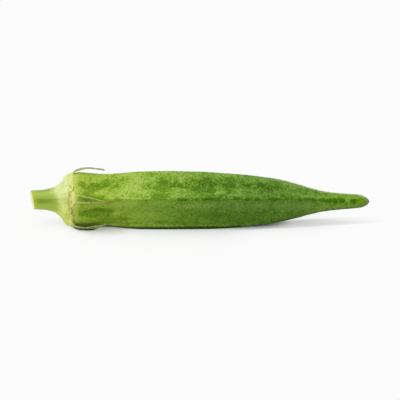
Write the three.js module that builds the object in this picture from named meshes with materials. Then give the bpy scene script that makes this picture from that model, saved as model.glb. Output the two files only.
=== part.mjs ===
// An okra pod as picked, lying on a level surface: a five-ridged seed pod, the cap and cut stem that it
// grew on, and the five narrow bracts that are left round the cap's rim.
// Millimetres. +X runs from the cut stem to the tip, +Z is up and -Y is the front. The origin is on the
// surface that the pod lies on, under the middle of its length.
import * as THREE from "three";

const smooth = THREE.MathUtils.smoothstep;
const degrees = THREE.MathUtils.degToRad;

const LENGTH = 117; // cut stem to tip
const RIDGES = 5;
const RIDGE_STEP = 360 / RIDGES;
const FRONT_RIDGE = 18; // degrees above level, so that one ridge points straight up and two rest
const RIDGE_RADIUS = 10.5; // axis to crest at the belly
const BELLY = 47.6; // the belly's distance from the stem's end
const REST_FLAT = 0.25; // how far the two lower crests are flattened where they rest
const BELLY_HEIGHT = RIDGE_RADIUS * Math.sin(degrees(RIDGE_STEP - FRONT_RIDGE)) - REST_FLAT;
const LIE_SLOPE = 0.009; // the cap's rim props the stem end up, so the axis falls towards the tip
const STEM_SAG = 0.4; // how far the stem's end hangs below that line
const TOUCHING_GAP = 0.3; // between pieces that grow from each other

// Profiles, as [distance from the stem's end, radius]. Each runs from the stem towards the tip.
const CAP_END = 14.4;
const CAP_PROFILE = [
  [0.84, 3.3],
  [2.1, 3.35],
  [4.9, 3.5],
  [6.9, 3.97],
  [8.3, 4.37],
  [9.7, 5.1],
  [10.4, 5.6],
  [11.1, 6.5],
  [11.8, 7.7],
  [12.5, 8.5],
  [13.2, 9.05],
  [13.9, 9.35],
  [CAP_END, 9.3],
];
const POD_START = CAP_END + TOUCHING_GAP;
const POD_PROFILE = [
  [POD_START, 8.3],
  [15.8, 9.35],
  [17.4, 9.78],
  [20, 9.6],
  [23, 9.3],
  [25.6, 9.2],
  [31.1, 9.6],
  [38, 10.15],
  [BELLY, RIDGE_RADIUS],
  [58.7, 10.2],
  [69.7, 9.55],
  [80.8, 8.4],
  [86.3, 7.55],
  [91.8, 6.2],
  [97.3, 4.6],
  [101.5, 3.6],
  [107, 2.9],
  [113.2, 2.3],
  [115.8, 1.45],
  [LENGTH, 0],
];
const POD_RINGS = 42;
const POD_SIDES = 60;
const CAP_RINGS = 26;
const CAP_SIDES = 40;

// The pod's section along its length, as [distance, share of the radius lost at the groove between two
// ridges, and how the loss grows on the way there: at 2 the ridges are round lobes, below 1 they are
// sharp crests].
const POD_SECTION = [
  [POD_START, 0.12, 2],
  [17, 0.17, 2],
  [26, 0.2, 1.5],
  [40, 0.235, 0.8],
  [82, 0.21, 0.8],
  [97, 0.1, 1],
  [106, 0.04, 1.4],
  [LENGTH, 0.02, 1.4],
];
// The cap is round at the stem and takes the pod's corners on the way to its rim.
const CAP_CORNERS = 0.11;
const CAP_CORNERS_START = 8;
const CAP_CORNER_GROWTH = 2;

// The stem is cut a little askew: its face leans down and to the front by these slopes.
const CUT_SLOPE_FRONT = 0.212;
const CUT_SLOPE_DOWN = 0.133;
const CUT_FADES_BY = 7; // distance along the stem by which the slope is gone

const BRACT_THICKNESS = 0.3;
const BRACT_STEPS = 14;
// A bract's half width along its route, as [share of the route, share of its half width].
const BRACT_OUTLINE = [
  [0, 1],
  [0.35, 0.82],
  [0.7, 0.45],
  [1, 0.16],
];
// Each bract's route is a list of [distance from the stem's end, degrees round the axis from the
// front, distance from the axis]. faces is where its outer side looks, in the same degrees.
const BRACTS = [
  {
    name: "bract_top",
    faces: 90,
    halfWidth: 0.9,
    route: [
      [13.7, 90, 9.95],
      [15, 90, 10.45],
      [16.4, 90, 11.15],
      [18.2, 90, 11.5],
      [20.6, 90, 11.45],
      [23.4, 91, 10.95],
      [25.8, 92, 10.75],
    ],
  },
  {
    name: "bract_front",
    faces: 18,
    halfWidth: 1.4,
    route: [
      [13.7, 19, 9.95],
      [16, 19, 10.3],
      [18.4, 18, 10.3],
      [22, 15.5, 9.9],
      [25.4, 12.5, 9.45],
      [28, 10, 9.15],
    ],
  },
  {
    name: "bract_under",
    faces: -72,
    halfWidth: 0.85,
    route: [
      [13.7, -50, 10.05],
      [15.2, -49, 10.4],
      [17.3, -47.4, 10.95],
      [20, -46.9, 11.05],
      [22.5, -46.3, 10.85],
      [24.4, -45.4, 10.35],
      [25.8, -44.5, 9.85],
    ],
  },
  {
    name: "bract_back_high",
    faces: 162,
    halfWidth: 1.2,
    route: [
      [13.7, 162, 9.95],
      [15.8, 162, 10.25],
      [18.2, 163, 10.35],
      [21.4, 165, 10.05],
      [23.6, 167, 9.7],
    ],
  },
  {
    name: "bract_back_low",
    faces: -108,
    halfWidth: 0.85,
    route: [
      [13.7, -130, 10.05],
      [15.3, -131, 10.4],
      [17.3, -132.6, 10.95],
      [19.6, -133.6, 11.05],
      [21.8, -135, 10.6],
    ],
  },
];

const skinGreen = new THREE.MeshStandardMaterial({ color: "#76a23c", roughness: 0.6, metalness: 0 });
const stemGreen = new THREE.MeshStandardMaterial({ color: "#aec766", roughness: 0.55, metalness: 0 });
const bractGreen = new THREE.MeshStandardMaterial({ color: "#8a9a4c", roughness: 0.7, metalness: 0 });

// How high the axis runs above the surface at a distance along the pod.
function axisHeight(distance) {
  const sag = STEM_SAG * (1 - smooth(distance, 0, CAP_END));
  return BELLY_HEIGHT + LIE_SLOPE * (BELLY - distance) - sag;
}

// The point at a distance along the pod, an angle round it from the front and a radius. Nothing goes
// below the surface: what would is flat where it rests.
function pointAt(distance, angle, radius) {
  return new THREE.Vector3(
    distance - LENGTH / 2,
    -radius * Math.cos(degrees(angle)),
    Math.max(0, axisHeight(distance) + radius * Math.sin(degrees(angle))),
  );
}

// A row of [key, values...] read at a key, with straight lines between the rows.
function tableAt(table, key) {
  const next = Math.max(1, table.findIndex((row) => row[0] >= key));
  const [from, to] = [table[next - 1], table[next]];
  const share = (key - from[0]) / (to[0] - from[0]);
  return from.slice(1).map((value, i) => THREE.MathUtils.lerp(value, to[i + 1], share));
}

// What is left of a radius between two ridges: all of it on a crest, least in the groove half way.
function ridged(angle, loss, growth) {
  const turned = THREE.MathUtils.euclideanModulo(angle - FRONT_RIDGE, RIDGE_STEP);
  const fromCrest = Math.min(turned, RIDGE_STEP - turned) / RIDGE_STEP; // 0.5 in the groove
  return 1 - loss * Math.sin(fromCrest * Math.PI) ** growth;
}

// Moves every vertex of a geometry to where place(x, y, z) puts it.
function reshaped(geometry, place) {
  const positions = geometry.getAttribute("position");
  for (let i = 0; i < positions.count; i++) {
    const { x, y, z } = place(positions.getX(i), positions.getY(i), positions.getZ(i));
    positions.setXYZ(i, x, y, z);
  }
  geometry.deleteAttribute("uv");
  geometry.computeVertexNormals();
  return geometry;
}

// A profile turned round the axis and closed by a disc at a blunt end. section(distance, angle) is the
// share of the radius that is left there, and place(distance, angle, radius) is where the point goes.
function turnedBody(profile, rings, sides, section, place) {
  const curve = new THREE.SplineCurve(
    profile.map(([distance, radius]) => new THREE.Vector2(radius, distance)),
  );
  const outline = curve.getPoints(rings);
  outline.unshift(new THREE.Vector2(0, profile[0][0]));
  const [endDistance, endRadius] = profile.at(-1);
  if (endRadius > 0) {
    outline.push(new THREE.Vector2(0, endDistance));
  }
  return reshaped(new THREE.LatheGeometry(outline, sides), (x, y, z) => {
    const angle = 180 - THREE.MathUtils.radToDeg(Math.atan2(x, z));
    return place(y, angle, Math.hypot(x, z) * section(y, angle));
  });
}

function pod() {
  const section = (distance, angle) => ridged(angle, ...tableAt(POD_SECTION, distance));
  return new THREE.Mesh(turnedBody(POD_PROFILE, POD_RINGS, POD_SIDES, section, pointAt), skinGreen);
}

function stemCap() {
  const section = (distance, angle) =>
    ridged(angle, CAP_CORNERS * smooth(distance, CAP_CORNERS_START, CAP_END), CAP_CORNER_GROWTH);
  const askew = (distance, angle, radius) => {
    const at = pointAt(distance, angle, radius);
    const slope = 1 - smooth(distance, CAP_PROFILE[0][0], CUT_FADES_BY);
    at.x -= slope * (CUT_SLOPE_FRONT * at.y + CUT_SLOPE_DOWN * (at.z - axisHeight(distance)));
    return at;
  };
  return new THREE.Mesh(turnedBody(CAP_PROFILE, CAP_RINGS, CAP_SIDES, section, askew), stemGreen);
}

// A narrow leaf that follows its route and is drawn out to a blunt point.
function bract({ route, faces, halfWidth }) {
  const line = new THREE.CatmullRomCurve3(
    route.map(([distance, angle, radius]) => pointAt(distance, angle, radius)),
  );
  const outer = new THREE.Vector3(0, -Math.cos(degrees(faces)), Math.sin(degrees(faces)));
  const strip = new THREE.BoxGeometry(1, BRACT_THICKNESS, 2, BRACT_STEPS, 1, 2);
  const geometry = reshaped(strip, (x, y, z) => {
    const share = x + 0.5;
    const along = line.getTangentAt(share);
    const across = new THREE.Vector3().crossVectors(along, outer).normalize();
    const up = new THREE.Vector3().crossVectors(across, along);
    const width = halfWidth * tableAt(BRACT_OUTLINE, share)[0];
    return line.getPointAt(share).addScaledVector(across, z * width).addScaledVector(up, y);
  });
  return new THREE.Mesh(geometry, bractGreen);
}

const okra = new THREE.Group();

function add(name, mesh) {
  mesh.name = name;
  okra.add(mesh);
}

add("pod", pod());
add("stem_cap", stemCap());
for (const leaf of BRACTS) {
  add(leaf.name, bract(leaf));
}

export default okra;
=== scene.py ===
import math
import random
from functools import partial

import bmesh
import bpy
from bpy.props import FloatProperty, FloatVectorProperty, IntProperty, PointerProperty
from mathutils import Euler, Matrix, Vector, noise
from mathutils.geometry import interpolate_bezier


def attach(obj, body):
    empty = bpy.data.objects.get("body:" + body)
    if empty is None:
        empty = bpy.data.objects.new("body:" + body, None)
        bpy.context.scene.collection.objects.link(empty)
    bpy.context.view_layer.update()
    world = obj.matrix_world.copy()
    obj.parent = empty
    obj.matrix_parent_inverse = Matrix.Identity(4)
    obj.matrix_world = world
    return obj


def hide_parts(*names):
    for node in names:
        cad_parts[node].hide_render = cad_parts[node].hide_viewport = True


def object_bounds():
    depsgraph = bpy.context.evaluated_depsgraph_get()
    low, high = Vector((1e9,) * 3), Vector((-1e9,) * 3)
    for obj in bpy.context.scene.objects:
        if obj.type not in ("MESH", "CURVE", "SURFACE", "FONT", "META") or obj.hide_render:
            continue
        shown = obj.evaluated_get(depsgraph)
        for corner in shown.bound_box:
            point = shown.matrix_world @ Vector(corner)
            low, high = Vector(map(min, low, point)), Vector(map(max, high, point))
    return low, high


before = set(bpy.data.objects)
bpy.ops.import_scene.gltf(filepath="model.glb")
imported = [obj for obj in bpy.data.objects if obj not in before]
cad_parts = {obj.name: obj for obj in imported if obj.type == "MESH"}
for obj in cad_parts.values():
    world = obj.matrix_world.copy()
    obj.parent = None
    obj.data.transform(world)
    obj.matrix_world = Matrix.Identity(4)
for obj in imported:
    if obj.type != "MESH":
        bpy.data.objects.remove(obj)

bl_info = {
    "name": "Okra Pod",
    "version": (1, 0, 0),
    "blender": (4, 5, 0),
    "location": "View3D > Sidebar > Okra",
    "description": "An okra pod with its cap, cut stem, bracts and down, on a pale surface",
    "category": "Add Mesh",
}

# The pod's sizes are in millimetres, along an axis that starts at the cut stem. Angles go round that
# axis in degrees, from level at the front (-Y) upwards.
CAD_LOW, CAD_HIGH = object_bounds()
LENGTH = 117
MM = 2 * CAD_HIGH.x / LENGTH  # metres; the origin is under the middle of the length

RIDGES = 5
RIDGE_STEP = 360 / RIDGES
FRONT_RIDGE = 18
RIDGE_RADIUS = 10.5
BELLY = 47.6
REST_FLAT = 0.25
BELLY_HEIGHT = RIDGE_RADIUS * math.sin(math.radians(RIDGE_STEP - FRONT_RIDGE)) - REST_FLAT
LIE_SLOPE = 0.009
STEM_SAG = 0.52

# [distance, radius] from the stem towards the tip.
CAP_END = 14.4
CUT = 0.62
CUT_PROFILE = [
    (CUT + 0.25, 0), (CUT + 0.2, 1.2), (CUT + 0.05, 1.5), (CUT + 0.12, 2.2), (CUT, 2.7), (CUT, 3.1),
]
CAP_PROFILE = [
    (CUT + 0.1, 3.24), (1.3, 3.3), (2.1, 3.35), (4.9, 3.5), (6.9, 3.97), (8.3, 4.37), (9.7, 5.18),
    (10.4, 5.84), (11.1, 6.75), (11.8, 8), (12.5, 8.65), (13.1, 8.95), (13.5, 9),
]
SCAR_PROFILE = [
    (13.65, 9), (13.9, 9.15), (14.4, 9.4), (14.9, 9.4), (15.3, 9.2), (15.6, 8.75), (15.5, 8.2), (15, 7.6),
]
POD_START = CAP_END + 0.3
POD_PROFILE = [
    (POD_START, 8.4), (15.2, 9.1), (16.1, 9.55), (17.4, 9.72), (20, 9.55), (23, 9.25), (25.6, 9.12),
    (31.1, 9.45), (38, 10.05), (BELLY, RIDGE_RADIUS), (58.7, 10.2), (69.7, 9.55), (80.8, 8.4), (86.3, 7.55),
    (91.8, 6.2), (97.3, 4.6), (101.5, 3.6), (107, 2.9), (113.2, 2.3), (115.3, 1.68), (116.5, 0.85),
    (LENGTH, 0),
]
# [distance, share of the radius lost in the groove between ridges, growth of that loss from the crest,
# roundness of the crest]
POD_SECTION = [
    (POD_START, 0.1, 2, 0.03), (17, 0.15, 2, 0.03), (26, 0.19, 1.5, 0.03), (40, 0.235, 0.8, 0.04),
    (76, 0.215, 0.8, 0.05), (90, 0.17, 0.9, 0.22), (97, 0.1, 1, 0.3), (106, 0.04, 1.4, 0.3),
    (LENGTH, 0.02, 1.4, 0.3),
]
CAP_CORNERS = 0.11
CAP_CORNERS_START = 8
CAP_CORNER_GROWTH = 2
CUT_SLOPE_FRONT = 0.27
CUT_SLOPE_DOWN = 0.115
CUT_FADES_BY = 7

# name: (direction that the leaf's outer side faces, half width, thickness, share of the tip that is
# withered, dullness, route of (distance, angle, radius))
BRACTS = {
    "top": (90, 0.85, 0.5, 0.02, 0.95, [
        (13.9, 90, 8.5), (14.6, 90, 9.05), (15.4, 90, 9.6), (16.6, 90, 10.2), (18.6, 90, 10.75),
        (21.4, 90, 10.92), (23.6, 91, 10.62), (25.7, 92, 10.25)]),
    "front": (18, 1.48, 0.26, 0.28, 0, [
        (14.4, 18, 8.7), (15.4, 18, 9.35), (16.6, 17.6, 10.05), (18.4, 16.6, 10.15), (22, 14.5, 9.8),
        (25.4, 12.3, 9.35), (28.6, 10, 9.1)]),
    "under": (-34, 1.6, 0.34, 0.02, 0.8, [
        (13.6, -50, 9.5), (15.2, -46.2, 10.7), (17.3, -43.2, 11.75), (20, -42.4, 11.95), (22.3, -40.4, 11.6),
        (24.6, -39.2, 11.05), (26.8, -39.2, 10.4)]),
    "back_high": (162, 1.25, 0.26, 0.3, 0.2, [
        (13.7, 162, 9.2), (14.7, 162, 9.9), (16.4, 162.3, 10.3), (18.2, 163, 10.35), (21.4, 165, 10.05),
        (23.6, 167, 9.7)]),
    "back_low": (-146, 1.15, 0.34, 0.2, 0.5, [
        (13.6, -130, 9.5), (15.3, -134, 10.4), (17.3, -136.4, 10.9), (19.6, -137.4, 10.9),
        (21.8, -138.2, 10.4)]),
}
BRACT_OUTLINE = [
    (0, 2), (0.06, 1.6), (0.12, 1.15), (0.2, 1), (0.45, 0.73), (0.72, 0.41), (0.86, 0.22), (1, 0.05),
]


def linear(code):
    """The linear colour, with full alpha, of an sRGB hex value."""
    parts = [int(code[i : i + 2], 16) / 255 for i in (1, 3, 5)]
    return (*((p / 12.92 if p <= 0.04045 else ((p + 0.055) / 1.055) ** 2.4) for p in parts), 1)


def colour(name, description, code):
    """A colour that the user can change."""
    return FloatVectorProperty(
        name=name, description=description, subtype="COLOR", size=4, min=0, max=1, default=linear(code))


def millimetres(name, description, default):
    """A small size that the user can change."""
    return FloatProperty(name=name, description=f"{description}, in millimetres", default=default)


class OkraForm(bpy.types.PropertyGroup):
    """Sizes of the pod's fine forms, on top of the frame's."""

    crest_height: millimetres("Crest Height", "How far the rib along each ridge stands up", 0.14)
    crest_width: millimetres("Crest Width", "Half width of the rib along each ridge", 0.45)
    seed_height: millimetres("Seed Height", "How far the seeds lift the skin", 0.2)
    seed_spacing: millimetres("Seed Spacing", "Distance between seeds along a ridge", 5.2)
    waviness: millimetres("Waviness", "How far the skin wanders from an even form", 0.16)
    crease_depth: millimetres("Crease Depth", "Depth of the creases between the lobes by the cap", 0.6)
    down_length: millimetres("Down Length", "Length of the hairs over the pod's skin", 0.32)
    down_hairs: IntProperty(
        name="Down Hairs", description="How many short hairs grow over the pod's skin", default=10500)
    bract_bristles: IntProperty(
        name="Bract Bristles", description="How many bristles stand on the edges of each bract", default=70)


class OkraColours(bpy.types.PropertyGroup):
    """Colours of the pod's tissues and of what it lies on."""

    skin_by_cap: colour("Skin by the Cap", "Yellow green of the pod's youngest skin", "#A8C43C")
    skin_belly: colour("Skin at the Belly", "Green of the pod's near half", "#9CC042")
    skin_middle: colour("Skin at the Middle", "Green of the pod's middle", "#729E28")
    skin_far: colour("Skin towards the Tip", "Green of the pod's far half", "#5F8B28")
    skin_tip: colour("Skin of the Beak", "Saturated green of the narrow beak", "#6E9C0A")
    skin_rim: colour("Skin at the Rim", "Pale skin where the pod meets the cap", "#CDDC66")
    skin_dried: colour("Dried Tip", "Grey brown of the withered style at the tip", "#8C8C66")
    crest: colour("Crest", "Deep green along the worn crests", "#427000")
    # Painted shade: near black green low on the pod by the surface, in the nooks under the low bracts and on
    # the bracts' low parts.
    pressed: colour("Pressed Skin", "Near black green where the pod presses on what it lies on", "#16260A")
    down: colour("Down", "Pale green of the hairs on young skin", "#CBDD7E")
    down_far: colour("Down towards the Tip", "Duller green of the hairs on old skin", "#9ABF5C")
    down_tip: colour("Down at the Tip", "Greyish green of the single hairs near the tip", "#B9C692")
    # Painted highlight: a pale line along the pod's back towards the tip, where the light falls.
    bloom: colour("Bloom", "Pale bloom along the pod's back", "#D2DAA6")
    cap: colour("Cap", "Pale green of the cap", "#DAE596")
    # Painted light: the cap's lower side is painted yellower, as light thrown up from the surface falls on
    # it.
    cap_painted_bounce: colour("Lower Side of the Cap", "Yellower green of the cap's shaded side", "#DCE474")
    stem: colour("Stem", "Green of the stem", "#A2BA3C")
    cut: colour("Cut", "Pale wet tissue of the cut stem", "#E6EAA2")
    bruise: colour("Bruise", "Yellow green of the stem right behind the cut", "#A8BC14")
    scar: colour("Scar", "Yellowish rim where the flower's leaves fell off", "#DEDE7E")
    cork: colour("Cork", "Olive brown cork on that rim", "#948834")
    bract: colour("Bract", "Olive green of the bracts", "#88A82C")
    # Painted shade: deep green along a bract's hollow middle.
    bract_painted_shade: colour("Bract Hollow", "Deep green where a bract is hollow or shaded", "#52721A")
    bract_edge: colour("Bract Edge", "Pale hairy edge of the bracts", "#C4D86C")
    bract_dull: colour("Dull Bract", "Grey olive of the driest bracts", "#A4AA7E")
    bract_tip: colour("Bract Tip", "Withered ends of the bracts", "#AC7E2E")
    surface: colour("Surface", "What the pod lies on", "#FCFCFC")


class OkraStage(bpy.types.PropertyGroup):
    """Camera and light."""

    camera_height: FloatProperty(
        name="Camera Height", description="Camera's angle above level", subtype="ANGLE", unit="ROTATION",
        default=math.radians(18))
    camera_distance: FloatProperty(
        name="Camera Distance", description="From the camera to the pod's middle", unit="LENGTH",
        default=0.55)
    framed_width: FloatProperty(
        name="Framed Width", description="Width in view at the pod's middle", unit="LENGTH",
        default=138 * MM)
    key: FloatProperty(name="Key", description="Strength of the softbox overhead", default=1.0)
    fill: FloatProperty(name="Fill", description="Strength of the wide light from the front", default=0.75)
    ambient: FloatProperty(name="Ambient", description="Strength of the room's light", default=0.6)


# ---------------------------------------------------------------- shape


def smoothstep(value, start, end):
    """0 up to start, 1 from end on, and a soft rise between."""
    share = min(max((value - start) / (end - start), 0), 1)
    return share * share * (3 - 2 * share)


def within(value, start, full, fading, end):
    """1 from full to fading, 0 outside start and end, and soft between."""
    return smoothstep(value, start, full) * (1 - smoothstep(value, fading, end))


def bell(value, middle, width):
    """1 at the middle and a soft fall to both sides."""
    return math.exp(-(((value - middle) / width) ** 2))


def table_at(table, key):
    """A row of (key, values...) read at a key, with straight lines between the rows."""
    following = next((i for i, row in enumerate(table) if row[0] >= key), len(table) - 1)
    start, end = table[max(following, 1) - 1], table[max(following, 1)]
    share = min(max((key - start[0]) / (end[0] - start[0]), 0), 1)
    return [a + (b - a) * share for a, b in zip(start[1:], end[1:])]


def smooth_line(points, step):
    """Points about a step apart on a smooth curve through the given ones."""
    knots = [Vector((*point, 0)[:3]) for point in points]
    ends = [2 * knots[0] - knots[1], *knots, 2 * knots[-1] - knots[-2]]
    line = []
    for before, start, end, after in zip(ends, ends[1:], ends[2:], ends[3:]):
        pieces = max(2, math.ceil((end - start).length / step))
        handles = start + (end - before) / 6, end - (after - start) / 6
        line += interpolate_bezier(start, *handles, end, pieces + 1)[:-1]
    return [*line, knots[-1]]


def axis_height(distance):
    """Height of the pod's axis over the surface."""
    sag = STEM_SAG * (1 - smoothstep(distance, 0, CAP_END))
    return BELLY_HEIGHT + LIE_SLOPE * (BELLY - distance) - sag


def point_at(distance, angle, radius):
    """The place, in metres, of a point on the pod. What would reach below the surface is flat on it."""
    turn = math.radians(angle)
    height = axis_height(distance) + radius * math.sin(turn)
    return Vector((distance - LENGTH / 2, -radius * math.cos(turn), max(0, height))) * MM


def degrees_from(start, angle):
    """How far an angle is from another one, from -180 to 180."""
    return (angle - start + 180) % 360 - 180


def polar(point):
    """Distance, angle and radius of a point on a spun mesh."""
    return point.x, math.degrees(math.atan2(point.z, -point.y)), math.hypot(point.y, point.z)


def ridge_place(angle):
    """The ridge that an angle belongs to, and how far it is from the crest: -1 and 1 are the grooves."""
    ridge = round((angle - FRONT_RIDGE) / RIDGE_STEP)
    return ridge % RIDGES, 2 * (angle - FRONT_RIDGE - ridge * RIDGE_STEP) / RIDGE_STEP


def ridged(from_crest, loss, growth, roundness=0.03):
    """What is left of the radius that far from the crest."""
    rounded = math.sqrt(from_crest**2 + roundness**2) - roundness
    return 1 - loss * math.sin(min(rounded, 1) * math.pi / 2) ** growth


def wander(place, size, seed):
    """Smooth noise about 0 with features of that size."""
    return noise.noise(Vector(place) / size + Vector((seed, 2 * seed, 3 * seed)))


def turned(profile, sides):
    """The profile spun round the axis, in millimetres."""
    form = bmesh.new()
    verts = [form.verts.new((point.x, -point.y, 0)) for point in profile]
    edges = [form.edges.new(pair) for pair in zip(verts, verts[1:])]
    bmesh.ops.spin(
        form, geom=verts + edges, cent=(0, 0, 0), axis=(-1, 0, 0), angle=math.tau, steps=sides, use_merge=True
    )
    bmesh.ops.remove_doubles(form, verts=form.verts, dist=1e-5)
    return form


def mesh_of(form, name):
    """The mesh of a finished form, which is freed."""
    mesh = bpy.data.meshes.new(name)
    form.to_mesh(mesh)
    form.free()
    return mesh


def join(form, other):
    """Adds another form to this one and frees it."""
    mesh = mesh_of(other, "joined")
    form.from_mesh(mesh)
    bpy.data.meshes.remove(mesh)


def add_piece(form, name, slot, material, *nodes):
    """Makes the finished piece and lets it stand for CAD nodes."""
    mesh = mesh_of(form, name)
    mesh.shade_smooth()
    mesh.materials.append(material)
    piece = bpy.data.objects.new(name, mesh)
    bpy.context.scene.collection.objects.link(piece)
    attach(piece, "root")
    if nodes:
        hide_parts(*nodes)


# ---------------------------------------------------------------- materials


COLOUR_A, COLOUR_B = 6, 7  # sockets of a Mix node that mixes colours
SOFT = {"interpolation_type": "SMOOTHSTEP"}

# What each mesh tells its material about its surface, as attributes from 0 to about 1.
SKIN_LAYERS = ("crest", "down", "mottled", "pressed", "bloom")
CAP_LAYERS = ("flare", "scar", "cork", "cut", "hollow", "bruised")
LEAF_LAYERS = ("root", "edge", "withered", "dull", "hollow", "pressed")


def set_sockets(node, sockets):
    """Sets or links a node's sockets. A node as a value stands for its first output in use."""
    for name, value in dict(sockets).items():
        if isinstance(value, bpy.types.Node):
            value = next(output for output in value.outputs if output.enabled)
        if isinstance(value, bpy.types.NodeSocket):
            node.id_data.links.new(value, node.inputs[name])
        else:
            node.inputs[name].default_value = value


def add_node(tree, kind, sockets=(), stops=(), **settings):
    """Adds a shader node with its settings, its sockets' values or links, and a ramp's stops."""
    node = tree.nodes.new("ShaderNode" + kind)
    for name, value in settings.items():
        setattr(node, name, value)
    set_sockets(node, sockets)
    for i, (place, value) in enumerate(stops):
        elements = node.color_ramp.elements
        element = elements[i] if i < 2 else elements.new(place)
        element.position, element.color = place, value
    return node


def new_material(name, layers=()):
    """A material, its shader, a function that adds its nodes, the place in metres that its patterns
    follow, and what each layer of the mesh says."""
    material = bpy.data.materials.new(name)
    material.use_nodes = True
    add = partial(add_node, material.node_tree)
    said = [add("Attribute", attribute_name=layer).outputs["Fac"] for layer in layers]
    shader = material.node_tree.nodes["Principled BSDF"]
    return material, shader, add, add("TexCoord").outputs["Object"], *said


def okra_skin(colours):
    """Fresh okra skin: thin satin rind under a coat of very short hairs. The hairs give paler, duller patches
    where they stand thick, and the rind shows deep green where they are rubbed off. Light and shade are also
    painted into its colour: a pale highlight along the back, paler down as sheen and highlights, thinner
    down as shade, and near black shade low down and in the nooks by the bracts."""
    material, skin, add, place, crest, lean, mottled, pressed, bloom = new_material(
        "fresh_okra_skin", SKIN_LAYERS)
    across = add("SeparateXYZ", {0: place}).outputs["X"]
    along = add("MapRange", {"Value": across, "From Min": -LENGTH / 2 * MM, "From Max": LENGTH / 2 * MM})
    drift = add("TexNoise", {"Vector": place, "Scale": 1 / (9 * MM), "Detail": 2})
    drifted = add("Math", {0: drift, 1: 0.12, 2: along}, operation="MULTIPLY_ADD")
    shown = add("ValToRGB", {"Fac": drifted}, stops=[
        (0.2, colours.skin_by_cap), (0.38, colours.skin_belly), (0.52, colours.skin_middle),
        (0.68, colours.skin_far), (0.88, colours.skin_far), (0.95, colours.skin_tip)])
    bare = add("Mix", {
        "Factor": 1, COLOUR_A: shown, COLOUR_B: linear("#ADC45E")}, data_type="RGBA", blend_type="MULTIPLY")
    down = add("ValToRGB", {"Fac": drifted}, stops=[
        (0.36, colours.down), (0.7, colours.down_far)])
    # Patches of thick and thin down, 2 to 4 mm long, with a ragged edge.
    stretched = add("Mapping", {"Vector": place, "Scale": (0.7, 1, 1)})
    patch = add("TexNoise", {"Vector": stretched, "Scale": 1 / (2.6 * MM), "Detail": 5, "Roughness": 0.8})
    centred = add("Math", {0: patch, 1: 0.5}, operation="SUBTRACT")
    # The down layer also holds painted sheen, highlights, shade and light thrown up on the beak.
    cover = add("Math", {0: centred, 1: mottled, 2: lean}, operation="MULTIPLY_ADD")
    thin = add("MapRange", {"Value": cover, "From Min": 0.02, "From Max": -0.11}, **SOFT)
    thick = add("MapRange", {"Value": cover, "From Min": 0, "From Max": 0.17, "To Max": 0.42}, **SOFT)
    # Single tufts and bare pores, drawn at 0.7 mm so that they show.
    tuft = add("TexNoise", {"Vector": place, "Scale": 1 / (0.7 * MM), "Detail": 2, "Roughness": 0.7})
    most_tufts = add("Math", {0: mottled, 1: 0.06, 2: 0.37}, operation="MULTIPLY_ADD")
    tufts = add("MapRange", {"Value": tuft, "From Min": 0.53, "From Max": 0.68, "To Max": most_tufts})
    most_pores = add("Math", {0: mottled, 1: 0.2, 2: 0.66}, operation="MULTIPLY_ADD")
    pores = add("MapRange", {"Value": tuft, "From Min": 0.48, "From Max": 0.33, "To Max": most_pores})
    # The crests are rubbed bare in dashes.
    rub = add("TexNoise", {"Vector": place, "Scale": 1 / (0.65 * MM), "Detail": 3, "Roughness": 0.75})
    rubbed = add("Math", {0: rub, 1: 2.2, 2: crest}, operation="MULTIPLY_ADD")
    worn = add("MapRange", {"Value": rubbed, "From Min": 1.5, "From Max": 1.68})
    # Right by the rim the skin is pale, and at the very tip it has dried.
    frayed = add("Math", {0: patch, 1: 0.04, 2: along}, operation="MULTIPLY_ADD")
    receding = add("Math", {0: lean, 1: -0.12, 2: frayed}, operation="MULTIPLY_ADD")
    rim = add("MapRange", {"Value": receding, "From Min": 0.176, "From Max": 0.148, "To Max": 0.9}, **SOFT)
    dry = add("Math", {0: rub, 1: 0.09, 2: along}, operation="MULTIPLY_ADD")
    dried = add("MapRange", {"Value": dry, "From Min": 1.026, "From Max": 1.04, "To Max": 0.8})
    # Among these, a pale highlight and near black shade are painted in.
    for share, over in (
        (thin, bare), (thick, down), (tufts, down), (pores, bare), (bloom, colours.bloom),
        (worn, colours.crest), (rim, colours.skin_rim), (dried, colours.skin_dried),
        (pressed, colours.pressed),
    ):
        shown = add("Mix", {"Factor": share, COLOUR_A: shown, COLOUR_B: over}, data_type="RGBA")
    # The hairs shine softly where the skin turns away, most towards the tip, and not on worn crests.
    velvet = add("MapRange", {
        "Value": along, "From Min": 0.6, "From Max": 0.8, "To Min": 0.22, "To Max": 0.75})
    unworn = add("Math", {0: 1, 1: worn}, operation="SUBTRACT")
    sheen = add("Math", {0: velvet, 1: unworn}, operation="MULTIPLY")
    # Velvety grain: hair roots 0.35 mm apart on gentle pimples of about 1 mm.
    grain = add("TexNoise", {"Vector": place, "Scale": 1 / (0.35 * MM), "Detail": 2, "Roughness": 0.6})
    pimple = add("TexNoise", {"Vector": place, "Scale": 1 / (1.1 * MM), "Detail": 2})
    relief = add("Math", {0: grain, 1: 0.5, 2: pimple}, operation="MULTIPLY_ADD")
    bump = add("Bump", {"Height": relief, "Strength": 0.6, "Distance": 0.2 * MM})
    set_sockets(skin, {
        "Base Color": shown, "Normal": bump, "Roughness": 0.58, "IOR": 1.42, "Specular IOR Level": 0.08,
        "Subsurface Weight": 0.08, "Subsurface Radius": (0.6, 1, 0.25), "Subsurface Scale": 0.7 * MM,
        "Sheen Weight": sheen, "Sheen Roughness": 0.36, "Sheen Tint": linear("#E0EAC4")})
    return material


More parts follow.
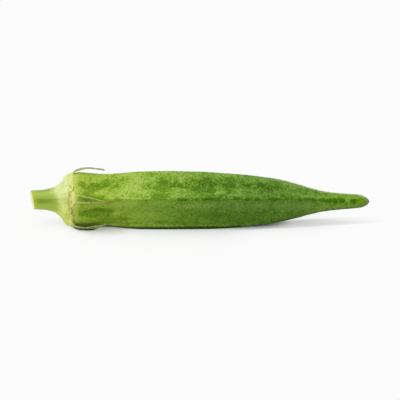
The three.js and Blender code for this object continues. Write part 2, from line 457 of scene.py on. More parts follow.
def cap_rind(colours):
    """Smooth waxy rind of the cap and stem: fibres run along it, the cut end is wet pith, and the rim
    carries a scar with cork on it."""
    material, rind, add, place, flare, scar, cork, cut, hollow, bruised = new_material(
        "waxy_cap_rind", CAP_LAYERS)
    # Fibres follow the way out from the axis, so they fan out over the cap.
    spoke = add("Mapping", {
        "Vector": place, "Location": (0, 0, -axis_height(CAP_END / 2) * MM), "Scale": (0, 1, 1)})
    unit = add("VectorMath", {0: spoke}, operation="NORMALIZE")
    fanned = add("VectorMath", {0: place, 1: (0.02 / MM, 0, 0), 2: unit}, operation="MULTIPLY_ADD")
    fibre = add("TexNoise", {"Vector": fanned, "Scale": 7, "Detail": 3, "Roughness": 0.55})
    blotch = add("TexNoise", {"Vector": place, "Scale": 1 / (2.2 * MM), "Detail": 3})
    mixed = add("Math", {0: blotch, 1: 0.5, 2: flare}, operation="MULTIPLY_ADD")
    flared = add("MapRange", {"Value": mixed, "From Min": 0.25, "From Max": 1}, **SOFT)
    # The lower side is painted yellower, standing in for light thrown up from the surface.
    height = add("SeparateXYZ", {0: place}).outputs["Z"]
    painted_bounce_below = add("MapRange", {"Value": height, "From Min": 12.5 * MM, "From Max": 5 * MM}, **SOFT)
    pale = add("Mix", {"Factor": painted_bounce_below, COLOUR_A: colours.cap, COLOUR_B: colours.cap_painted_bounce}, data_type="RGBA")
    shown = add("Mix", {"Factor": flared, COLOUR_A: colours.stem, COLOUR_B: pale}, data_type="RGBA")
    deep = add("Mix", {
        "Factor": 1, COLOUR_A: shown, COLOUR_B: linear("#B6CA3E")}, data_type="RGBA", blend_type="MULTIPLY")
    streak = add("MapRange", {"Value": fibre, "From Min": 0.5, "From Max": 0.3, "To Max": 0.45})
    # Fibre streaks, and shade painted in the stem's groove and over the cap's front, deepen the green.
    shaded = add("Math", {0: streak, 1: hollow}, operation="ADD", use_clamp=True)
    # The cork crumbles into grains of about half a millimetre.
    crumb = add("TexNoise", {"Vector": place, "Scale": 1 / (0.6 * MM), "Detail": 3, "Roughness": 0.65})
    ragged = add("Math", {0: crumb, 1: 1.2, 2: cork}, operation="MULTIPLY_ADD")
    corky = add("MapRange", {"Value": ragged, "From Min": 0.95, "From Max": 1.35, "To Max": 0.85})
    for share, over in (
        (shaded, deep), (scar, colours.scar), (corky, colours.cork), (bruised, colours.bruise),
        (cut, colours.cut),
    ):
        shown = add("Mix", {"Factor": share, COLOUR_A: shown, COLOUR_B: over}, data_type="RGBA")
    matt = add("Math", {0: scar, 1: 0.3, 2: 0.36}, operation="MULTIPLY_ADD")
    relief = add("Math", {0: crumb, 1: scar, 2: fibre}, operation="MULTIPLY_ADD")
    bump = add("Bump", {"Height": relief, "Strength": 0.4, "Distance": 0.15 * MM})
    set_sockets(rind, {
        "Base Color": shown, "Normal": bump, "Roughness": matt, "IOR": 1.44, "Specular IOR Level": 0.5,
        "Subsurface Weight": 0.3, "Subsurface Radius": (0.8, 1, 0.3), "Subsurface Scale": 1.5 * MM})
    return material


def bract_leaf(colours):
    """Thin, half-dried leaf: olive with painted shade along its hollow middle and on its parts close to the
    surface, pale hairy edges, a pale root and a withered brown end."""
    material, leaf, add, place, root, edge, withered, dull, hollow, pressed = new_material(
        "half_dried_leaf", LEAF_LAYERS)
    mottle = add("TexNoise", {"Vector": place, "Scale": 1 / (0.8 * MM), "Detail": 3, "Roughness": 0.65})
    shade = add("MapRange", {
        "Value": mottle, "From Min": 0.3, "From Max": 0.65, "To Min": 0.7, "To Max": 0})
    # Random mottling, and shade painted along the hollow middle, deepen the olive.
    shaded = add("Math", {0: shade, 1: hollow}, operation="ADD", use_clamp=True)
    edged = add("Math", {0: mottle, 1: 2, 2: edge}, operation="MULTIPLY_ADD")
    pale = add("MapRange", {"Value": edged, "From Min": 1.2, "From Max": 1.9})
    wither = add("Math", {0: mottle, 1: 0.7, 2: withered}, operation="MULTIPLY_ADD")
    brown = add("MapRange", {"Value": wither, "From Min": 0.6, "From Max": 1.1}, **SOFT)
    shown = colours.bract
    for share, over in (
        (shaded, colours.bract_painted_shade), (dull, colours.bract_dull), (pale, colours.bract_edge),
        (root, colours.scar), (brown, colours.bract_tip), (pressed, colours.pressed),
    ):
        shown = add("Mix", {"Factor": share, COLOUR_A: shown, COLOUR_B: over}, data_type="RGBA")
    bump = add("Bump", {"Height": mottle, "Strength": 0.5, "Distance": 0.12 * MM})
    set_sockets(leaf, {
        "Base Color": shown, "Normal": bump, "Roughness": 0.6, "Specular IOR Level": 0.25,
        "Sheen Weight": 0.1})
    return material


def plant_hair(colours):
    """Plant hair: a clear, hollow cell, so it takes the colour of what is under it, a little paler."""
    material, hair, add, place = new_material("plant_hair")
    tone = add("TexNoise", {"Vector": place, "Scale": 1 / (2 * MM), "Detail": 2})
    toned = add("ValToRGB", {"Fac": tone}, stops=[
        (0.35, colours.skin_belly), (0.75, colours.down)])
    across = add("SeparateXYZ", {0: place}).outputs["X"]
    by_tip = add("MapRange", {"Value": across, "From Min": 5 * MM, "From Max": 25 * MM, "To Max": 0.7})
    shown = add("Mix", {"Factor": by_tip, COLOUR_A: toned, COLOUR_B: colours.down_tip}, data_type="RGBA")
    set_sockets(hair, {"Base Color": shown, "Roughness": 0.6, "Specular IOR Level": 0.15})
    return material


# ---------------------------------------------------------------- pieces


# Fineness of the spun meshes: step along the profile in millimetres, and points round it.
POD_STEP, POD_SIDES = 0.36, 180
CAP_STEP, CAP_SIDES = 0.16, 200

SEEDS_FROM, SEEDS_TO = 21, 96
SEED_REACH = 5  # how far along the pod a seed can lift the skin

# Stretches along the pod: [starts, full from, full to, ends].
CREASED = 15, 20.5, 22, 36
RIBBED = 19, 30, 88, 102
FRONT_SWUNG = 48, 74, 98, 106
BACK_SUNKEN = 83, 98, 106, 112
DASHED = 34, 56, 88, 96
BELLY_WORN = 46, 56, 86, 92
BEAK_WORN = 95, 99, 111.5, 114
MOTTLED = 26, 40, 92, 102
BEAK = 92, 100, 112, 115
# Where a pale highlight is painted along the back.
BACK_HIGHLIGHT_STRETCH = 62, 88, 108, 114
# Where shade is painted on the front ridge under the front bract.
UNDER_FRONT_BRACT = 18, 20, 24, 29
BY_BRACTS = 14.8, 16.5, 22, 29
# Angles of the nooks under the low bracts, where shade is painted on the skin. The front one ends where light
# falls in.
BACK_NOOK = 221, 231, 235, 243
FRONT_NOOK = 297, 305
NOOK_LIT_FROM = 319
# Heights over the surface at which the shade painted on the low sides starts to fade, and at which it is
# gone.
SHADE_PAINTED_BELOW = 0.45, 1.05
# Angle round the pod of the highlight painted along the back.
BACK_HIGHLIGHT_ANGLE = 104
# Angle of the light painted on the beak's lower side, thrown up from the surface.
PAINTED_BEAK_BOUNCE_ANGLE = -32


def seed_rows(form):
    """Places of the seeds under the skin, by ridge and by stretch along the pod: (distance, share of the
    way to the groove, size)."""
    draw = random.Random(5)
    stretches = int(LENGTH / SEED_REACH) + 3
    rows = [[[] for _ in range(stretches)] for _ in range(RIDGES)]
    for row in rows:
        for side in (-1, 1):
            distance = SEEDS_FROM + draw.uniform(0, form.seed_spacing)
            while distance < SEEDS_TO:
                seed = distance, side * draw.uniform(0.36, 0.56), draw.uniform(0.6, 1.15)
                for stretch in range(3):
                    row[int(distance / SEED_REACH) + stretch].append(seed)
                distance += form.seed_spacing * draw.uniform(0.8, 1.25)
    return rows


def seed_lift(row, distance, from_crest, radius):
    """How far the seeds lift the skin here, as a share of the full height."""
    lift = 0
    for seed_distance, seed_from_crest, size in row[int(distance / SEED_REACH) + 1]:
        aside = (seed_from_crest - from_crest) * math.radians(RIDGE_STEP / 2) * radius
        lift += size * bell(seed_distance, distance, 1.75) * bell(aside, 0, 1.35)
    return lift


# Share of full wear on the crests, and of full mottling beside them, from the front ridge upwards. On the
# two lower crests, which rest on the surface, the deep green is partly wear and partly painted contact shade.
CREST_WEAR = (1, 0, 0.6, 0.8, 0.9)
MOTTLING_ABOVE = (1, 0.9, 0.8, 0.7, 0.35)

# Where the down is rubbed thin (strength below 0) or stands thick: [distance, angle, half length, half
# breadth in degrees, strength].
# Two of them, at 107, paint light on the beak: a highlight along its top and light thrown up on its lower
# side.
PATCHES = [
    (18, 59, 0.8, 5, -0.04), (22.4, 52, 1.7, 8, -0.25), (22.2, 76, 2, 6, 0.06), (24.4, 52, 1.8, 6, -0.2),
    (30, 53, 1.6, 5, -0.12), (23.2, 38, 1.8, 7, -0.06), (31, 17, 3, 5, -0.08), (19, -23, 1.4, 5, -0.07),
    (24, -17, 3.2, 8, -0.2), (31, -14, 2.4, 8, 0.07), (52, 29, 2, 4, 0.08), (51.8, 54, 2, 7, -0.25),
    (45, 13, 3, 5, 0.13), (32, 73, 3, 8, -0.1), (65.5, 28, 1.6, 4, -0.2), (58.7, 28, 1.5, 4, -0.08),
    (79.4, 67, 1.7, 7, -0.24), (93, 38, 1.5, 12, 0.12), (107, 95, 5, 14, 0.25), (107, -30, 4, 14, 0.14),
    (72.5, 30, 2, 5, 0.1), (33, -42, 5, 4, 0.08), (23.6, -8, 1.5, 5, -0.13), (24.5, 30, 2.4, 5, 0.04),
    (20.4, 31, 1.8, 4.5, -0.12), (22.6, -23, 3, 6, -0.16), (26.3, 68, 2, 6, -0.12), (45, -39, 3, 4, -0.08),
    (35, 52, 5, 40, 0.09), (45, 44, 3.6, 26, -0.17), (46.5, 70, 2.6, 11, -0.12), (52, 72, 2.4, 11, 0.16),
    (51, 91, 9, 9, 0.16), (52.5, 38, 2.4, 12, 0.08), (60.5, 62, 4.2, 17, -0.15), (57.5, 38, 1.6, 10, -0.08),
    (62, 30, 3, 6, 0.02), (65, 46, 1.6, 14, 0.09), (68.4, 62, 1.5, 18, -0.16), (68.8, 34, 1.2, 8, -0.05),
    (72, 42, 2, 12, 0.09), (74.8, 66, 1.4, 16, -0.14), (77, 44, 1.1, 20, 0.06), (79.6, 52, 0.9, 26, -0.1),
    (82.3, 45, 0.8, 22, -0.12), (85, 50, 1.2, 10, 0.05), (86, 33, 2, 8, -0.16), (91, 48, 1.4, 16, -0.06),
    (30, -38, 7, 14, -0.1), (46, -6, 6, 12, 0.03), (63, -24, 5, 9, -0.05), (120, 140, 6, 30, -0.1),
    (44, 118, 4, 20, -0.14), (58, 146, 4, 20, 0.1), (66, 110, 3, 16, -0.12), (74, 142, 2, 20, -0.12),
    (82, 120, 2, 24, 0.08), (38, 170, 4, 22, 0.09), (52, 205, 5, 20, -0.08), (70, 200, 4, 16, 0.06),
]

# [distance, half length, strength] of the rubbed dashes on the front crest.
CREST_DASHES = [
    (40, 0.8, 0.6), (52.4, 2.9, 0.85), (57.2, 0.8, 0.7), (61.8, 2.8, 1), (66.6, 1.6, 0.25), (70.9, 1.5, 1),
    (74.4, 1.3, 0.9), (78, 1.5, 0.95), (83.4, 2.4, 1.15), (88, 1.4, 0.7), (92.5, 1.5, 0.7),
]


def crest_wear(ridge, distance):
    """How bare the crest is rubbed: in dashes along the belly and all over on the beak."""
    if ridge:
        dashes = smoothstep(wander((distance, 7 * ridge, 0), 4.5, 8), -0.22, 0.12)
        dashes *= within(distance, *DASHED)
    else:
        dashes = max(strength * bell(distance, middle, long) for middle, long, strength in CREST_DASHES)
    beak = within(distance, *BEAK_WORN) * (0.64 + 0.75 * wander((distance, 9 * ridge, 5), 2.4, 8))
    return CREST_WEAR[ridge] * max(dashes, 0.42 * within(distance, *BELLY_WORN), beak)


class OKRA_OT_pod(bpy.types.Operator):
    """Makes the pod with its ridges, seed rows and creases"""

    bl_idname = "okra.pod"
    bl_label = "Pod"

    def execute(self, context):
        form = context.scene.okra_form
        seeds = seed_rows(form)
        body = turned(smooth_line(POD_PROFILE, POD_STEP), POD_SIDES)
        layers = {name: body.verts.layers.float.new(name) for name in SKIN_LAYERS}
        for vert in body.verts:
            distance, turn, radius = polar(vert.co)
            ridge, from_crest = ridge_place(turn)
            # The mesh is finer by the crests than in the grooves.
            from_crest = math.copysign(abs(from_crest) ** 1.4, from_crest)
            angle = FRONT_RIDGE + RIDGE_STEP * (ridge + from_crest / 2)
            # The crests wander a little to the sides.
            swing = 2.2 * wander((distance, 4 * ridge, 0), 22, 3) * smoothstep(distance, 20, 45)
            swing += 4 * (ridge == 0) * within(distance, *FRONT_SWUNG)
            angle += swing * (1 - from_crest**2)
            crest_radius = radius
            aside = from_crest * math.radians(RIDGE_STEP / 2) * radius
            fullness = within(distance, *RIBBED)
            rib = bell(aside, 0, form.crest_width)
            seed = seed_lift(seeds[ridge], distance, from_crest, radius) * fullness
            creased = within(distance, *CREASED)
            crease = bell(abs(from_crest), 1, 0.19) * creased
            radius *= ridged(from_crest, *table_at(POD_SECTION, distance))
            radius -= form.crest_height * (1 - rib) * fullness * (1 - abs(from_crest))
            radius += form.seed_height * seed - form.crease_depth * crease
            # The lower ridges bulge near the cap, and the back dips behind it and towards the beak.
            radius += 0.25 * (ridge in (3, 4)) * bell(distance, 40, 7) * bell(aside, 0, 2.5)
            upper = max(0, math.sin(math.radians(angle)))
            radius += upper * (0.2 * bell(distance, 75, 6) - 0.26 * bell(distance, 19, 4))
            radius -= upper * 0.24 * within(distance, *BACK_SUNKEN)
            radius += form.waviness * (wander((distance, angle / 6, 0), 8, 1) - 0.3) * min(1, radius / 8)
            self.mark(vert, layers, ridge, distance, angle, from_crest, aside, seed, creased)
            vert.co = rested(point_at(distance, angle, radius), crest_radius)
            # Shade is painted near black on the low sides and in the nooks by the low bracts.
            vert[layers["pressed"]] = self.painted_shade_amount(vert.co.z / MM, distance, angle)
        bmesh.ops.recalc_face_normals(body, faces=body.faces)
        add_piece(body, "okra_pod", "pod_skin", okra_skin(context.scene.okra_colours), "pod")
        return {"FINISHED"}

    def mark(self, vert, layers, ridge, distance, angle, from_crest, aside, seed, creased):
        """Stores where the skin is rubbed, downy and mottled, and where light and shade are painted on it."""
        full = within(distance, *MOTTLED)
        beak = within(distance, *BEAK)
        above = MOTTLING_ABOVE[ridge if from_crest > 0 else ridge - 1]
        groove = smoothstep(abs(from_crest), 0.55, 1)
        # Under a ridge paler down is painted in a thin even haze as sheen, and along the top ridge as a
        # highlight. By the cap the front ridge, under the front bract, gets thinner down as painted shade.
        painted_sheen_below_ridge = (1 - above) * bell(aside, -2.4, 2) * smoothstep(distance, 44, 58)
        painted_top_highlight = (ridge == 1) * bell(aside, 0, 1.7) * smoothstep(distance, 50, 66)
        painted_bract_shade = (ridge == 0) * bell(aside, 0, 1.6) * within(distance, *UNDER_FRONT_BRACT)
        patch = 0
        for place, turn, long, wide, strength in PATCHES:
            patch += strength * bell(distance, place, long) * bell(degrees_from(turn, angle), 0, wide)
        # A pale highlight is painted along the back towards the tip.
        bloom = within(distance, *BACK_HIGHLIGHT_STRETCH) * (1 + 0.7 * wander((distance, angle / 6, 3), 2.4, 7))
        vert[layers["crest"]] = crest_wear(ridge, distance) * bell(aside, 0.1, 0.72 + 0.4 * beak)
        vert[layers["mottled"]] = above * (0.6 + 0.6 * full) + 0.6 * beak
        vert[layers["bloom"]] = 0.48 * bloom * bell(degrees_from(BACK_HIGHLIGHT_ANGLE, angle), 0, 10)
        vert[layers["down"]] = (
            0.07 * seed * above + 0.15 * painted_sheen_below_ridge - 0.07 * groove * full * (above - 0.6)
            # In the creases by the cap shade is painted as thinner down.
            - 0.09 * groove * creased * (1 + 4.5 * wander((distance, angle / 6, 0), 2.2, 6))
            + 0.16 * painted_top_highlight - 0.1 * painted_bract_shade + patch
            # On the beak the lower side gets paler down, painted as light thrown up from the surface.
            + beak * (0.1 * (ridge == 0) * bell(aside, 1.7, 0.6)
                      + 0.2 * bell(degrees_from(PAINTED_BEAK_BOUNCE_ANGLE, angle), 0, 22))
        )

    def painted_shade_amount(self, height, distance, angle):
        """How much shade is painted on the skin: near black on the low sides, but not on the face underneath,
        and in the nooks that the low bracts shade."""
        underneath = smoothstep(RIDGE_STEP / 2 - abs(degrees_from(-90, angle)), 2, 8)
        low = (1 - smoothstep(height, *SHADE_PAINTED_BELOW)) * (1 - underneath)
        lit_from = NOOK_LIT_FROM - 9 * smoothstep(distance, 21, 26)
        nook = max(
            within(angle % 360, *FRONT_NOOK, lit_from - 10, lit_from), within(angle % 360, *BACK_NOOK))
        nook *= within(distance, *BY_BRACTS)
        return max(0.95 * low * smoothstep(distance, 24, 28), 0.68 * nook)


def rested(place, crest_radius):
    """Low down the pod's own weight presses the skin out a little, most by the heavy cap."""
    height, aside = place.z / MM, abs(place.y) / MM
    low = (1 - smoothstep(height, 0, 1.6)) * (
        2.1 - 0.55 * smoothstep(place.x / MM, -32, -12) - 0.55 * smoothstep(place.x / MM, 8, 20))
    outer = smoothstep(aside - crest_radius * math.cos(math.radians(RIDGE_STEP - FRONT_RIDGE)), -2.4, -0.2)
    place.y += math.copysign(0.7 * low * outer * MM, place.y)
    return place


# [distance, half width] of the lines of cork on the scar, and the angle of its thickest patch.
CORK_LINES = [(13.8, 0.28), (14.5, 0.2), (15.1, 0.34)]
CORK_PATCH = -14
# [distance, angle, size] of the dark specks on the cap.
SPECKS = [
    (11.9, 19, 0.22), (12.4, 30, 0.16), (12.1, -33, 0.25), (11.4, -30, 0.14), (12.6, -20, 0.16),
    (11.8, 66, 0.16), (12.2, 118, 0.2), (11.7, 205, 0.22), (12.3, 160, 0.16), (12.5, -64, 0.2),
]
CAP_SWELL = 0.55  # how far the cap swells out below
RIM_BOW = 0.55  # how far the rim bows towards the tip at the front and the back


class OKRA_OT_stem_cap(bpy.types.Operator):
    """Makes the cut stem, the cap that flares from it and the scarred rim"""

    bl_idname = "okra.stem_cap"
    bl_label = "Stem and Cap"

    def execute(self, context):
        profile = smooth_line([*CUT_PROFILE, *CAP_PROFILE, *SCAR_PROFILE], CAP_STEP)
        body = turned([*profile, Vector((SCAR_PROFILE[-1][0], 0, 0))], CAP_SIDES)
        layers = {name: body.verts.layers.float.new(name) for name in CAP_LAYERS}
        for vert in body.verts:
            distance, angle, radius = polar(vert.co)
            _, from_crest = ridge_place(angle)
            on_face = distance < CUT + 0.3 and radius < 3.15
            ringed = distance + 0.35 * wander((angle / 5, 0, 0), 4, 2)
            ringed += 0.15 * wander((angle / 5, 0, 0), 1, 2)
            scar = smoothstep(ringed, 13.35, 13.75)
            corners = CAP_CORNERS * smoothstep(distance, CAP_CORNERS_START, CAP_END)
            # A groove runs along the front of the stem, and shade is painted in it.
            groove = bell(from_crest, -0.25, 0.45) * (1 - smoothstep(distance, 4, 12)) * (not on_face)
            groove *= 0.35 + 0.65 * bell(angle, 8, 50)
            # Shade is painted along the rim's front edge and over the front and lower front of the cap.
            rim_seam_shade = bell(ringed, 13.6, 0.35) * bell(angle, 13, 19)
            rim_seam_shade += 0.42 * bell(distance, 12.6, 1) * bell(angle, 12, 12)
            rim_seam_shade += 0.2 * bell(distance, 12, 2) * bell(angle, -45, 20)
            height = axis_height(distance)
            if not on_face:
                # Fibres stand out along the stem and fade over the cap.
                radius += 0.09 * wander((distance * 0.12, angle / 9, 0), 1, 4) * (1 - 0.6 * scar)
                radius += 0.22 * wander((distance, angle / 6, 0), 2.2, 6) * scar
                radius -= 0.2 * bell(ringed, 13.5, 0.16) + 0.16 * groove
                # Below, the cap swells out to its resting corners.
                radius += CAP_SWELL * smoothstep(distance, 7, 11) * max(0, -math.sin(math.radians(angle)))
            radius *= ridged(from_crest, corners, CAP_CORNER_GROWTH)
            place = point_at(distance, angle, radius)
            slope = 1 - smoothstep(distance, CUT, CUT_FADES_BY)
            place.x += RIM_BOW * math.cos(math.radians(angle)) ** 2 * smoothstep(distance, 8, 13.5) * MM
            place.x -= slope * (CUT_SLOPE_FRONT * place.y + CUT_SLOPE_DOWN * (place.z - height * MM))
            # At the front the stem's green reaches further over the cap: painted shade.
            painted_front_shade = bell(angle, -8, 38)
            vert[layers["flare"]] = smoothstep(distance, 5 + 3.2 * painted_front_shade, 12 + 1.8 * painted_front_shade)
            vert[layers["scar"]] = scar * (0.75 + 0.5 * wander((distance, angle / 6, 0), 1.2, 8))
            vert[layers["cork"]] = self.corked(distance, angle, radius, scar)
            vert[layers["bruised"]] = 0.95 * bell(distance, CUT + 0.6, 0.9) * (1 - 0.15 * groove)
            vert[layers["cut"]] = float(on_face)
            vert[layers["hollow"]] = min(1, groove + rim_seam_shade)
            vert.co = place
        bmesh.ops.recalc_face_normals(body, faces=body.faces)
        add_piece(body, "okra_stem_cap", "stem_green", cap_rind(context.scene.okra_colours), "stem_cap")
        return {"FINISHED"}

    def corked(self, distance, angle, radius, scar):
        """How thick the cork lies: in lines and a patch on the scar, and in specks on the cap."""
        cork = 0
        for line, (start, wide) in enumerate(CORK_LINES):
            patches = smoothstep(wander((angle / 7, 5 * line, 0), 2.6, 7), -0.2, 0.45)
            frayed = distance + 0.8 * wander((angle / 5, 4 * line, 0), 1.8, 5)
            cork = max(cork, patches * bell(frayed, start, wide) * (1 - 0.6 * bell(angle, CORK_PATCH, 20)))
        frayed = distance + 0.8 * wander((angle / 5, 20, 0), 1.6, 4)
        cork = max(0.9 * cork, (0.27 + 0.7 * bell(frayed, 14.5, 0.26)) * bell(angle, CORK_PATCH, 17))
        cork = scar * (cork + 0.2)
        for speck_distance, speck_angle, wide in SPECKS:
            away = math.hypot(distance - speck_distance, math.radians(angle - speck_angle) * radius)
            cork = max(cork, 1.3 * bell(away, 0, wide))
        return cork


def leaf(faces, half_width, thickness, withered, dullness, route):
    """A cupped leaf along a route, with its root, edges and withered end as attributes."""
    line = smooth_line([point_at(*stop) / MM for stop in route], 0.3)
    form = bmesh.new()
    bmesh.ops.create_grid(form, x_segments=len(line) - 1, y_segments=12, size=0.5)
    layers = {name: form.verts.layers.float.new(name) for name in LEAF_LAYERS}
    turn = math.radians(faces)
    away = Vector((0, -math.cos(turn), math.sin(turn)))
    for vert in form.verts:
        share, side = vert.co.x + 0.5, 2 * vert.co.y
        i = round(share * (len(line) - 1))
        tangent = (line[min(i + 1, len(line) - 1)] - line[max(i - 1, 0)]).normalized()
        across = tangent.cross(away).normalized()
        out = across.cross(tangent)
        width = half_width * table_at(BRACT_OUTLINE, share)[0]
        cup = 0.4 * width * (side**2 - 0.35) * smoothstep(share, 0.1, 0.35)
        hug = 0.35 * width * side**2 * (1 - smoothstep(share, 0.05, 0.25))
        curl = 0.12 * wander((share * 9, side, faces), 1.6, 1)
        ragged = 1 + 0.1 * wander((share * 25, 3 * round(side), faces), 1, 2) * abs(side)
        vert.co = line[i] + across * width * side * ragged + out * (cup + curl - hug)
        vert[layers["root"]] = 1 - smoothstep(share, 0.07, 0.28)
        vert[layers["edge"]] = smoothstep(abs(side), 0.55 + 0.2 * share, 1) * (1 - 0.6 * dullness)
        vert[layers["dull"]] = dullness * smoothstep(share, 0.12, 0.35)
        # Shade is painted along the leaf's hollow middle.
        vert[layers["hollow"]] = 0.6 * bell(share, 0.44, 0.09) * (1 - side**2)
        # Shade is painted on the parts of the leaf close to the surface.
        vert[layers["pressed"]] = 1 - smoothstep(vert.co.z, 0.2, 0.95)
        vert[layers["withered"]] = smoothstep(share, 1 - withered, 1)
    bmesh.ops.recalc_face_normals(form, faces=form.faces)
    bmesh.ops.solidify(form, geom=form.faces[:], thickness=thickness)
    for vert in form.verts:
        # What would reach below the surface rests on it, bent over a small radius.
        rest = (vert.co.z + math.hypot(vert.co.z, 0.24)) / 2
        vert.co = Vector((vert.co.x, vert.co.y, rest if vert.co.z < 2 else vert.co.z)) * MM
    return form


TUFT_SIZE = 100  # a form grows faster by tufts than by single hairs


def bristles(places):
    """Short closed spikes at the given (root, direction, length), all in metres."""
    form = bmesh.new()
    for first in range(0, len(places), TUFT_SIZE):
        tuft = bmesh.new()
        for root, direction, length in places[first : first + TUFT_SIZE]:
            turn = direction.to_track_quat("Z", "Y").to_matrix().to_4x4()
            bmesh.ops.create_cone(
                tuft, cap_ends=True, segments=3, radius1=0.04 * MM, radius2=0.01 * MM, depth=length,
                matrix=Matrix.Translation(root + direction * length * 0.42) @ turn,
            )
        join(form, tuft)
    for vert in form.verts:
        vert.co.z = max(0, vert.co.z)
    return form


class OKRA_OT_bracts(bpy.types.Operator):
    """Makes the five narrow leaves that are left round the cap's rim"""

    bl_idname = "okra.bracts"
    bl_label = "Bracts"

    def execute(self, context):
        count = context.scene.okra_form.bract_bristles
        material = bract_leaf(context.scene.okra_colours)
        draw = random.Random(3)
        for name, settings in BRACTS.items():
            form = leaf(*settings)
            edge = form.verts.layers.float["edge"]
            tips = [vert for vert in form.verts if vert[edge] > 0.95]
            places = []
            for vert in draw.sample(tips, min(count, len(tips))):
                lean = Vector([draw.uniform(-1, 1) for _ in range(3)])
                direction = (vert.normal + 0.5 * lean).normalized()
                places.append((vert.co.copy(), direction, draw.uniform(0.15, 0.4) * MM))
            join(form, bristles(places))
            add_piece(form, f"okra_bract_{name}", "bract_leaf", material, f"bract_{name}")
        return {"FINISHED"}


class OKRA_OT_down(bpy.types.Operator):
    """Grows the short hairs on the pod"""

    bl_idname = "okra.down"
    bl_label = "Down"

    def execute(self, context):
        form = context.scene.okra_form
        draw = random.Random(11)
        skin = bpy.data.objects["okra_pod"].data
        # The operators leave the faces in an order of their own, and each run needs the same one.
        faces = sorted(skin.polygons, key=lambda face: face.vertices[:])
        faces = [face for face in faces if face.center.z > 0.8 * MM]
        # They stand thickest along the top ridge towards the tip, and the crests are rubbed bare.
        bare = skin.attributes["crest"].data
        weights = []
        for face in faces:
            fringe = smoothstep(face.center.x / MM, 8, 22) * smoothstep(face.normal.z, 0.75, 0.93)
            weights.append(face.area * (1 + 3 * fringe) * (1.05 - min(1, 1.4 * bare[face.vertices[0]].value)))
        places = []
        for face in draw.choices(faces, weights=weights, k=form.down_hairs):
            corners = [skin.vertices[i].co for i in face.vertices]
            shares = [draw.random() for _ in corners]
            root = sum((corner * share for corner, share in zip(corners, shares)), Vector()) / sum(shares)
            lean = Vector((draw.uniform(-0.3, 0.9), draw.uniform(-0.5, 0.5), draw.uniform(-0.5, 0.5)))
            direction = (face.normal + 0.7 * lean).normalized()
            places.append((root, direction, form.down_length * draw.uniform(0.5, 1.2) * MM))
        add_piece(bristles(places), "okra_down", "pod_skin", plant_hair(context.scene.okra_colours))
        return {"FINISHED"}


SURFACE_RADIUS = 6  # metres
AIM_DROP = 0.1  # how far below the pod's axis the camera aims


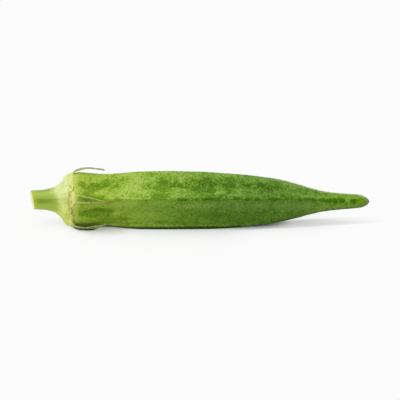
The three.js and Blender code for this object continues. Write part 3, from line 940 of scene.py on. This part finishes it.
class OKRA_OT_stage(bpy.types.Operator):
    """Sets the pale surface, the light and the camera"""

    bl_idname = "okra.stage"
    bl_label = "Stage"

    def execute(self, context):
        scene = context.scene
        stage = scene.okra_stage
        self.surface(scene)
        self.room(scene, stage)
        camera = bpy.data.cameras.new("camera")
        camera.sensor_width = 36
        camera.lens = camera.sensor_width * stage.camera_distance / stage.framed_width
        camera.clip_start = 0.01
        camera.clip_end = 100
        holder = bpy.data.objects.new("camera", camera)
        turn = Euler((math.pi / 2 - stage.camera_height, 0, 0)).to_matrix().to_4x4()
        aim = Matrix.Translation((0, 0, (axis_height(BELLY) - AIM_DROP) * MM))
        holder.matrix_world = aim @ turn @ Matrix.Translation((0, 0, stage.camera_distance))
        scene.collection.objects.link(holder)
        scene.camera = holder
        scene.view_settings.view_transform = "Standard"
        return {"FINISHED"}

    def surface(self, scene):
        """A round white surface. The camera sees it nearly white, and it keeps the pod's shadow."""
        form = bmesh.new()
        bmesh.ops.create_circle(form, cap_ends=True, segments=96, radius=SURFACE_RADIUS)
        mesh = mesh_of(form, "surface")
        floor = bpy.data.objects.new("surface", mesh)
        scene.collection.objects.link(floor)
        material, paper, add, place = new_material("matt_white_board")
        mesh.materials.append(material)
        to_camera = add("LightPath").outputs["Is Camera Ray"]
        along = add("SeparateXYZ", {0: place}).outputs["X"]
        by_stem, in_streak, by_tip = (
            add("MapRange", {"Value": along, "From Min": start * MM, "From Max": end * MM}, **SOFT)
            for start, end in ((-37, -47), (20, 34), (5, 20)))
        # The board throws most light back up by the stem.
        thrown = add("Mix", {
            "Factor": by_stem, COLOUR_A: linear("#B8B8B8"), COLOUR_B: linear("#FFFFFF")}, data_type="RGBA")
        seen = add("Mix", {
            "Factor": to_camera, COLOUR_A: thrown, COLOUR_B: scene.okra_colours.surface}, data_type="RGBA")
        set_sockets(paper, {"Base Color": seen, "Roughness": 1, "Specular IOR Level": 0})
        # It glows softly, most towards its edges, which keeps the shadows light there.
        away = add("VectorMath", {0: place, 1: (10 * MM, 0, 0)}, operation="DISTANCE")
        glow = add("ValToRGB", {"Fac": away}, stops=[
            (0, linear("#B0B0B0")), (0.03, linear("#B4B4B4")), (0.064, linear("#EAEAEA")),
            (0.4, linear("#FFFFFF"))])
        # Close under the pod there is none, and little by the low bract.
        under = add("Mapping", {"Vector": place, "Location": (1.9 * MM, 0, 0), "Scale": (0.23, 1, 0)})
        beside = add("VectorMath", {0: under}, operation="LENGTH")
        clear = add("MapRange", {"Value": beside, "From Min": 6.6 * MM, "From Max": 9.4 * MM}, **SOFT)
        by_bract = add("VectorMath", {0: place, 1: (-33.5 * MM, -6.5 * MM, 0)}, operation="DISTANCE")
        open_there = add("MapRange", {
            "Value": by_bract, "From Min": 5 * MM, "From Max": 12 * MM, "To Min": 0.25}, **SOFT)
        # Towards the tip it glows brighter beside the shadow, which narrows the shadow to a streak.
        off = add("VectorMath", {0: place, 1: (-0.18, 1, 0)}, operation="DOT_PRODUCT")
        offset = add("Math", {0: off, 1: 7.5 * MM}, operation="ADD")
        aside = add("Math", {0: offset}, operation="ABSOLUTE")
        beside_streak = add("MapRange", {
            "Value": aside, "From Min": 1.8 * MM, "From Max": 4.8 * MM, "To Max": 1.7}, **SOFT)
        streaked = add("Math", {0: beside_streak, 1: in_streak}, operation="MAXIMUM")
        narrowed = add("Mix", {"Factor": by_tip, "A": 1, "B": streaked})
        shown = glow
        for share in (clear, open_there, narrowed, to_camera):
            shown = add("Math", {0: shown, 1: share}, operation="MULTIPLY", use_clamp=True)
        plain = add("Emission", {"Color": scene.okra_colours.surface, "Strength": 1})
        mixed = add("MixShader", {0: shown, 1: paper, 2: plain})
        set_sockets(material.node_tree.nodes["Material Output"], {"Surface": mixed})

    def lamp(self, scene, name, strength, spread, turn):
        """A wide soft light from one side. A turn of 0 is overhead."""
        sun = bpy.data.lights.new(name, "SUN")
        sun.energy = strength
        sun.angle = math.radians(spread)
        holder = bpy.data.objects.new(name, sun)
        holder.rotation_euler = [math.radians(angle) for angle in turn]
        scene.collection.objects.link(holder)

    def room(self, scene, stage):
        """A softbox overhead, to the left and a little behind, and a wide weak one in front, in a white
        room."""
        self.lamp(scene, "softbox", stage.key, 45, (-6, -25, 0))
        self.lamp(scene, "front_fill", stage.fill, 110, (70, 0, 0))
        world = bpy.data.worlds.new("white_room")
        scene.world = world
        world.use_nodes = True
        add = partial(add_node, world.node_tree)
        rays = add("LightPath")
        shown = rays.outputs["Is Camera Ray"]
        for ray in ("Is Glossy Ray", "Is Transmission Ray"):
            shown = add("Math", {0: shown, 1: rays.outputs[ray]}, operation="MAXIMUM")
        strength = add("MapRange", {"Value": shown, "To Min": stage.ambient})
        set_sockets(world.node_tree.nodes["Background"], {
            "Color": linear("#FFFFFF"), "Strength": strength})


class OKRA_PT_panel(bpy.types.Panel):
    """The okra pod's settings, and the steps that make it"""

    bl_idname = "OKRA_PT_panel"
    bl_label = "Okra Pod"
    bl_space_type = "VIEW_3D"
    bl_region_type = "UI"
    bl_category = "Okra"

    def draw(self, context):
        scene = context.scene
        for group in (scene.okra_form, scene.okra_colours, scene.okra_stage):
            box = self.layout.box()
            for name in group.__annotations__:
                box.prop(group, name)
        for step in STEPS:
            self.layout.operator(step.bl_idname)


STEPS = (OKRA_OT_pod, OKRA_OT_stem_cap, OKRA_OT_bracts, OKRA_OT_down, OKRA_OT_stage)
CLASSES = (OkraForm, OkraColours, OkraStage, *STEPS, OKRA_PT_panel)


def register():
    for item in CLASSES:
        bpy.utils.register_class(item)
    bpy.types.Scene.okra_form = PointerProperty(type=OkraForm)
    bpy.types.Scene.okra_colours = PointerProperty(type=OkraColours)
    bpy.types.Scene.okra_stage = PointerProperty(type=OkraStage)


def unregister():
    del bpy.types.Scene.okra_stage
    del bpy.types.Scene.okra_colours
    del bpy.types.Scene.okra_form
    for item in reversed(CLASSES):
        bpy.utils.unregister_class(item)


def main():
    register()
    bpy.ops.okra.pod()
    bpy.ops.okra.stem_cap()
    bpy.ops.okra.bracts()
    bpy.ops.okra.down()
    bpy.ops.okra.stage()


if __name__ == "__main__":
    main()
